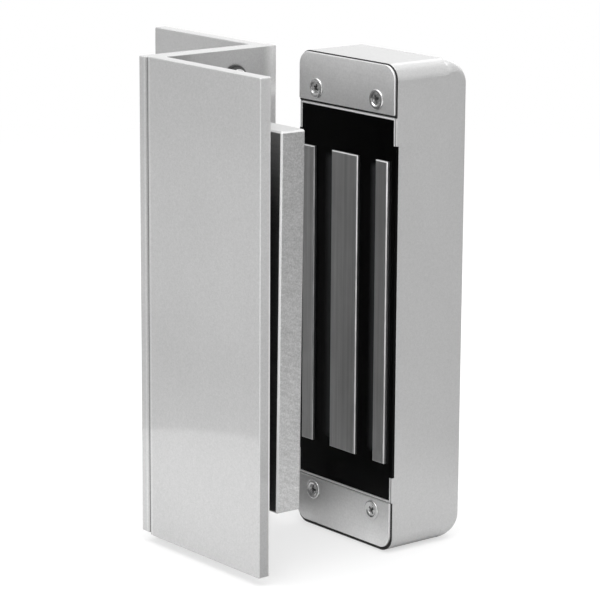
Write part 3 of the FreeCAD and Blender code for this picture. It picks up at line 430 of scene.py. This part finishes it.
def plated_plate(name):
    """Plated flat bar: fine peened grain, milling marks on the flat faces, chamfers with a painted
    highlight, painted shade on its face towards -y.
    """
    mat = material(name)
    normal = mat.rounded(radius=0.00025, samples=6)
    edge = mat.edge(normal, gain=2.4)
    facing = mat.face_normal()
    on_face = mat.ramp(mat.abs(mat.xyz(facing)[1]), over=(0.8, 0.98))
    speck = mat.ramp(mat.noise(scale=1900, detail=3, rough=0.75), over=(0.30, 0.70))
    fine_speck = mat.noise(scale=3100, detail=1, rough=0.5)
    streak = mat.noise(detail=3, rough=0.6, warp=0.6, stretch=(500, 500, 3000))
    arc = mat.noise(stretch=(30, 900, 1500))
    blotch = mat.noise(scale=45, detail=3)
    tone = mat.grey(0.52, (speck, 0.17), (fine_speck, 0.10), (blotch, 0.06), (streak, 0.16))
    milled = mat.grey(0.50, (arc, 0.10), (speck, 0.10), (blotch, 0.06))
    tone = mat.mix(on_face, tone, milled)

    # slanting saw marks, stronger towards the bottom
    x, y, z = mat.xyz(mat.place)
    slope = 0.5
    along_x, along_marks, across_marks = 60, 170, 1100  # how closely the pattern is packed
    slanted = mat.node("ShaderNodeCombineXYZ", {
        0: mat.mul(x, along_x),
        1: mat.mul(mat.sub(y, mat.mul(z, slope)), along_marks),
        2: mat.mul(mat.plus(z, y, slope), across_marks)}).outputs[0]
    saw = mat.ramp(mat.noise(rough=0.6, at=slanted), over=(0.30, 0.70))
    saw = mat.mul(mat.sub(saw, 0.5), mat.ramp(z, over=(-0.050, 0.030), to=(0.15, 0.10)))
    tone = mat.mul(tone, mat.add(saw, 1.0))
    # painted light: the plate a little darker towards the top, lighter low down
    tone = mat.mul(tone, mat.ramp(z, over=(-0.03, 0.06), to=(1.0, 0.90)))

    # painted light: the top face gets a lighter tone
    on_top = mat.above(mat.xyz(facing)[2], 0.9)
    tone = mat.mix(on_top, tone, mat.grey(0.60, (speck, 0.10), (streak, 0.06)))
    edge = mat.max(edge, mat.bevel_face())
    # painted highlight on edges and chamfers, brighter towards the top
    bright = mat.ramp(z, over=(-0.055, 0.055), to=(0.52, 0.66))
    bright = mat.mul(bright, mat.grey(1.0, (fine_speck, 0.10)))
    tone = mat.lay(tone, bright, mask=edge, share=0.9)

    # painted shade, in direct view only, on the face towards -y where a piece lies close, less so
    # at its upper end
    faces_front = mat.below(mat.xyz(facing)[1], -0.9)
    shade_from_hollow = mat.hollow(distance=0.016, samples=8, own_only=False)
    shaded = mat.mul(mat.ramp(shade_from_hollow, over=(0.15, 0.75)), faces_front)
    shaded = mat.mul(mat.mul(shaded, mat.ray("Camera")),
                     mat.ramp(z, over=(0.034, 0.061), to=(1.0, 0.45)))
    tone = mat.shade(tone, shaded, factor=0.07)
    gloss = mat.mix(edge, mat.plus(0.36, speck, share=0.14), 0.34)
    grain = mat.plus(speck, fine_speck, share=0.4)
    relief = mat.bump(grain, depth=0.00003, strength=0.55, over=normal)
    marks = mat.mix(on_face, streak, arc)
    relief = mat.bump(marks, depth=0.000012, strength=0.5, over=relief)
    return mat.finish(Base_Color=mat.colour(tone), Metallic=0.85, Roughness=gloss,
                      Normal=relief)


def web_screw_shade_ring(mat):
    """A ring of painted shade about the x axis of each of the two web screws, just outside its
    head.
    """
    head_x, head_y = -0.0275, -0.0508
    middle_z, half_pitch = 0.0017, 0.0675
    half_depth = 0.0030
    inner, outer = (0.0030, 0.0033), 0.0042     # fade-in span and outer radius
    x, y, z = mat.xyz(mat.place)
    off_y = mat.sub(y, head_y)
    off_z = mat.sub(mat.abs(mat.sub(z, middle_z)), half_pitch)
    radius = mat.hypot(off_y, off_z)
    near_head = mat.below(mat.abs(mat.sub(x, head_x)), half_depth)
    return mat.mul(mat.ramp(radius, over=inner), mat.mul(mat.below(radius, outer), near_head))


def bright_hardware(name, base, rough, metallic=1.0, recess_dark=0.8, tint=WHITE, edge_tone=0.9):
    """Plated metal: mottled, rubbed edges, painted shade in recesses and round the web screws'
    heads.
    """
    mat = material(name)
    normal = mat.rounded(radius=0.00008)
    edge = mat.edge(normal, gain=2.4)
    # painted shade in recesses
    hollow_dark = mat.mul(mat.ramp(mat.hollow(distance=0.0012), over=(0.25, 0.85)), recess_dark)
    fine = mat.noise(scale=5200, rough=0.6)
    mottle = mat.noise(scale=800, detail=3, rough=0.6)
    tone = mat.grey(base, (fine, 0.08), (mottle, 0.10))
    tone = mat.lay(tone, edge_tone, mask=edge, share=0.6)
    # painted shade also in a ring round the web screws' heads
    hollow_dark = mat.max(hollow_dark, web_screw_shade_ring(mat))
    tone = mat.mix(hollow_dark, tone, 0.035)
    gloss = mat.mix(hollow_dark, mat.plus(rough - 0.05, mottle, share=0.12), 0.6)
    relief = mat.bump(fine, depth=0.000006, strength=0.6, over=normal)
    relief = mat.bump(mottle, depth=0.00001, strength=0.4, over=relief)
    return mat.finish(Base_Color=mat.colour(tone, tint), Roughness=gloss, Normal=relief,
                      Metallic=mat.sub(metallic, mat.mul(hollow_dark, 0.6)))


def moulded_rubber(name, base):
    """Black rubber: fine moulded tooth, grey bloom, paler edges."""
    mat = material(name)
    normal = mat.rounded(radius=0.00012)
    tooth = mat.noise(scale=2600, rough=0.6)
    blotch = mat.noise(scale=260, detail=4, rough=0.6)
    edge = mat.edge(normal, gain=2.0)
    tone = mat.grey(base, (tooth, 0.25), (blotch, 0.30))
    tone = mat.plus(tone, mat.ramp(blotch, over=(0.5, 0.8)), share=0.006)
    tone = mat.lay(tone, base * 2.4, mask=edge, share=0.4)
    gloss = mat.plus(0.54, blotch, share=0.18)
    relief = mat.bump(tooth, depth=0.00002, strength=0.6, over=normal)
    relief = mat.bump(blotch, depth=0.00004, strength=0.3, over=relief)
    return mat.finish(Base_Color=mat.colour(tone), Roughness=gloss, Normal=relief,
                      Specular_IOR_Level=0.4)


def moulded_plastic(name, tint, rough=0.45):
    """Coloured plastic: fine tooth, upright flow marks, pale edges, darker in the corners."""
    mat = material(name)
    normal = mat.rounded(radius=0.0001)
    edge = mat.edge(normal, gain=2.0)
    tooth = mat.noise(scale=1800)
    flow = mat.noise(scale=160, detail=3, rough=0.6, warp=0.8, stretch=(1, 1, 0.3))
    hollow_dark = mat.ramp(mat.hollow(distance=0.002), over=(0.35, 0.95))
    tone = mat.grey(1.0, (tooth, 0.05), (flow, 0.08))
    tone = mat.lay(tone, 1.35, mask=edge, share=0.3)
    tone = mat.lay(tone, 0.4, mask=hollow_dark, share=0.5)
    gloss = mat.plus(rough - 0.06, flow, share=0.14)
    relief = mat.bump(tooth, depth=0.000018, strength=0.5, over=normal)
    return mat.finish(Base_Color=mat.colour(tone, tint), Roughness=gloss, Normal=relief)


def enamelled_wire(name):
    """Enamelled copper: turns across the long legs, crossed by fainter lines between layers."""
    mat = material(name)
    turns = mat.wave(scale=1100, axis="Z", warp=0.4, detail=1, detail_scale=0.3)
    cross = mat.wave(scale=1100, axis="X", warp=0.5, detail=1, detail_scale=0.3)
    blotch = mat.noise(scale=240, detail=3, rough=0.6)
    tone = mat.grey(1.0, (turns, 0.30), (cross, 0.12), (blotch, 0.15))
    relief = mat.bump(turns, depth=0.00012, strength=0.6)
    relief = mat.bump(cross, depth=0.00005, strength=0.4, over=relief)
    gloss = mat.plus(0.22, blotch, share=0.15)
    return mat.finish(Base_Color=mat.colour(tone, tint=(0.42, 0.15, 0.06)), Metallic=0.85,
                      Roughness=gloss, Normal=relief, Coat_Weight=0.4, Coat_Roughness=0.15)


def circuit_board(name):
    """Glass-epoxy board: woven laminate, copper runs under the green skin, pale cut edge."""
    skin, copper_run, cut_edge = (0.012, 0.10, 0.035), (0.03, 0.19, 0.075), (0.32, 0.30, 0.16)
    mat = material(name)
    weave = mat.mul(mat.wave(scale=900, axis="X"), mat.wave(scale=900, axis="Y"))
    run = mat.above(mat.wave(scale=90, axis="X", warp=6.0, stretch=(1, 0.15, 1)), 0.72)
    blotch = mat.noise(scale=300, detail=3, rough=0.6)
    side = mat.below(mat.abs(mat.xyz(mat.face_normal())[2]), 0.5)
    tone = mat.grey(1.0, (weave, 0.12), (blotch, 0.15))
    colour = mat.mix_colour(run, mat.colour(tone, skin), mat.colour(tone, copper_run))
    colour = mat.mix_colour(side, colour, mat.colour(tone, cut_edge))
    relief = mat.bump(mat.plus(run, weave, share=0.2), depth=0.00003, strength=0.6,
                      over=mat.rounded(radius=0.00008))
    gloss = mat.plus(0.28, side, share=0.4)
    return mat.finish(Base_Color=colour, Roughness=gloss, Normal=relief)


HOUSING_COAT = dict(Coat_Weight=0.7, Coat_IOR=1.55, Coat_Roughness=0.24)
BRACKET_COAT = dict(Coat_Weight=1.0, Coat_IOR=1.9, Coat_Roughness=0.055)

# material slot: (finish, its settings)
FINISHES = {
    "housing_paint": (silver_paint, dict(base=0.49, metallic=0.45, rough=0.40, peel=1.0,
                                         grain=0.11, seam=0.25, coat=HOUSING_COAT,
                                         marks=window_rim_highlights)),
    "bracket_paint": (silver_paint, dict(base=0.52, metallic=0.50, rough=0.36, peel=0.6,
                                         grain=0.13, seam=0.7, coat=BRACKET_COAT,
                                         marks=bracket_painted_light)),
    "core_steel": (ground_poles, {}),
    "rivet_steel": (bright_hardware, dict(base=0.5, rough=0.3)),
    "former_nylon": (moulded_plastic, dict(tint=(0.62, 0.60, 0.54))),
    "copper": (enamelled_wire, {}),
    "lead_insulation": (moulded_plastic, dict(tint=(0.45, 0.03, 0.025), rough=0.4)),
    "resin": (black_resin, {}),
    "cover_sheet": (satin_sheet, dict(base=0.75, rough=0.40)),
    "gasket_rubber": (moulded_rubber, dict(base=0.012)),
    "screw_nickel": (bright_hardware, dict(base=0.66, rough=0.15, recess_dark=0.95)),
    "board": (circuit_board, {}),
    "terminal_plastic": (moulded_plastic, dict(tint=(0.02, 0.16, 0.07))),
    "terminal_metal": (bright_hardware, dict(base=0.6, rough=0.26)),
    "suppressor_epoxy": (moulded_plastic, dict(tint=(0.03, 0.10, 0.36), rough=0.3)),
    "grommet_rubber": (moulded_rubber, dict(base=0.02)),
    "washer_black": (bright_hardware, dict(base=0.035, rough=0.38, metallic=0.7, recess_dark=0.4,
                                           edge_tone=0.25)),
    "zinc": (bright_hardware, dict(base=0.60, rough=0.28, tint=(0.97, 0.99, 1.03))),
    "rubber": (moulded_rubber, dict(base=0.02)),
    "armature_steel": (plated_plate, {}),
    "bolt_steel": (bright_hardware, dict(base=0.32, rough=0.28, edge_tone=0.7)),
}

finished = {}
for node_name, piece in NODES.items():
    slot = SLOT_OF[node_name]
    if slot not in finished:
        build, settings = FINISHES[slot]
        finished[slot] = build("finish_" + slot, **settings)
    piece.data.materials.clear()
    piece.data.materials.append(finished[slot])


# ----------------------------------------------------------------------------------------------
# floor
# ----------------------------------------------------------------------------------------------
low, high = Vector(cad_bounds[0]), Vector(cad_bounds[1])
centre = (low + high) / 2

bpy.ops.mesh.primitive_circle_add(vertices=96, radius=FLOOR_RADIUS, fill_type="NGON",
                                  location=(0, 0, low.z - FLOOR_GAP))
floor = bpy.context.object
floor.name = "floor"


def mirrored_tone(mat, x, y):
    """The sheet's tone in reflections: bright close to the object, greyer further out."""
    def outside(value, middle, half):
        return mat.max(mat.sub(mat.abs(mat.sub(value, middle)), half), 0.0)

    distance = mat.hypot(outside(x, middle=-0.020, half=0.080),
                         outside(y, middle=-0.065, half=0.070))
    near = mat.ramp(distance, over=(0.047, 0.052), to=FALLING)
    far = mat.ramp(distance, over=(0.05, 1.0), to=(0.30, 0.22), kind="LINEAR")
    tone = mat.mix(near, far, 0.66)
    # between the two halves
    inner = mat.mul(mat.ramp(y, over=(-0.079, -0.074)),
                    mat.ramp(x, over=(0.014, 0.022), to=FALLING))
    between = mat.mul(mat.ramp(x, over=(-0.050, -0.028), to=(0.70, 1.15)),
                      mat.ramp(x, over=(-0.020, 0.000), to=(1.0, 0.93)))
    tone = mat.mix(mat.mul(inner, near), tone, between)
    # towards the front right corner the sheet runs on bright
    flat = mat.vector("MULTIPLY", mat.place, (1, 1, 0))
    along = mat.dot(mat.vector("NORMALIZE", flat), (0.777, -0.629, 0.0))
    sector = mat.ramp(along, over=(0.80, 0.93))
    return mat.mix(mat.mul(sector, mat.sub(1.0, near)), tone, 1.0)


def floor_sheet():
    """Pale matt sheet that fades to white in view, with its own tone in reflections."""
    mat = material("floor_sheet")
    x, y, _ = mat.xyz(mat.place)
    fibre = mat.noise(scale=900, detail=3, rough=0.6)
    paper = mat.colour(mat.grey(0.86, (fibre, 0.01)))
    sheet = mat.closure("ShaderNodeBsdfDiffuse", Color=paper)
    glow = mat.closure("ShaderNodeEmission", Strength=1.0)
    fade = mat.ramp(mat.hypot(x, y), over=(0.18, 0.80), to=(0.60, 1.0))
    seen = mat.mix_shader(mat.mul(mat.ray("Camera"), fade), sheet, glow)
    mirrored = mat.closure("ShaderNodeBsdfDiffuse", Color=mat.colour(mirrored_tone(mat, x, y)))
    surface = mat.mix_shader(mat.ray("Glossy"), seen, mirrored)
    mat.put(mat.out.inputs["Surface"], surface)
    return mat.block


floor.data.materials.append(floor_sheet())

# ----------------------------------------------------------------------------------------------
# light
# ----------------------------------------------------------------------------------------------
scene = bpy.context.scene
scene.view_settings.view_transform = "Standard"
scene.view_settings.look = "None"
scene.view_settings.exposure = 0.0
scene.view_settings.gamma = 1.0


def studio_world():
    """White to the camera, near white in reflections, a soft sky gradient as light."""
    sky = Shader(bpy.data.worlds.new("studio"), "ShaderNodeOutputWorld")
    # grey levels from straight down (0) to straight up (1)
    gradient = sky.node("ShaderNodeValToRGB")
    stops = gradient.color_ramp.elements
    stops[0].position, stops[0].color = 0.0, (0.30, 0.30, 0.30, 1)
    stops[1].position, stops[1].color = 1.0, (0.90, 0.90, 0.90, 1)
    for position, level in ((0.5, 0.34), (0.62, 0.42), (0.80, 0.78)):
        stops.new(position).color = (level, level, level, 1)
    upward = sky.xyz(sky.coords["Generated"])[2]
    sky.put(gradient.inputs[0], sky.mul_add(upward, 0.5, 0.5))

    def background(colour, strength):
        return sky.closure("ShaderNodeBackground", Color=colour, Strength=strength)

    seen = background((1, 1, 1, 1), strength=1.0)
    light = background(gradient.outputs[0], strength=1.0)
    mirrored = background((1, 1, 1, 1), strength=0.95)
    rays = sky.node("ShaderNodeLightPath").outputs
    unseen = sky.mix_shader(rays["Is Glossy Ray"], light, mirrored)
    sky.put(sky.out.inputs[0], sky.mix_shader(rays["Is Camera Ray"], unseen, seen))
    return sky.block


scene.world = studio_world()


def softbox(name, at, width, height, power):
    """A rectangular light aimed at the object's centre, itself out of sight."""
    data = bpy.data.lights.new(name, "AREA")
    data.shape = "RECTANGLE"
    data.size, data.size_y = width, height
    data.energy = power
    box = bpy.data.objects.new(name, data)
    scene.collection.objects.link(box)
    box.location = at
    box.rotation_euler = (centre - Vector(at)).to_track_quat("-Z", "Y").to_euler()
    box.visible_camera = False


softbox("top_box", at=(0.15, -0.25, 1.30), width=1.8, height=1.8, power=22.0)
softbox("front_box", at=(-0.55, -1.25, 0.55), width=0.9, height=0.8, power=5.0)
softbox("side_box", at=(1.35, 0.30, 0.50), width=0.8, height=0.8, power=1.5)
softbox("rear_box", at=(-0.6, 1.3, 0.8), width=1.0, height=0.8, power=4.0)

# ----------------------------------------------------------------------------------------------
# camera
# ----------------------------------------------------------------------------------------------
CAMERA_PLACE = (0.667298, -0.586760, 0.200513)
AZIMUTH, ELEVATION, ROLL = (math.radians(angle) for angle in (51.047, 13.187, 0.326))

lens = bpy.data.cameras.new("camera")
camera = bpy.data.objects.new("camera", lens)
scene.collection.objects.link(camera)
scene.camera = camera
lens.sensor_fit = "HORIZONTAL"
lens.sensor_width = 36.0
lens.lens = 169.6236
lens.shift_x = 0.0
lens.shift_y = 0.017633333
lens.clip_start = 0.01
lens.clip_end = 60.0

# azimuth turns from -y towards +x; the roll is about the line of sight
back = Vector((math.sin(AZIMUTH) * math.cos(ELEVATION),
               -math.cos(AZIMUTH) * math.cos(ELEVATION),
               math.sin(ELEVATION)))
level_right = Vector((math.cos(AZIMUTH), math.sin(AZIMUTH), 0.0))
level_up = back.cross(level_right)
right = math.cos(ROLL) * level_right + math.sin(ROLL) * level_up
up = -math.sin(ROLL) * level_right + math.cos(ROLL) * level_up
pose = Matrix((right, up, back)).transposed().to_4x4()
pose.translation = Vector(CAMERA_PLACE)
camera.matrix_world = pose
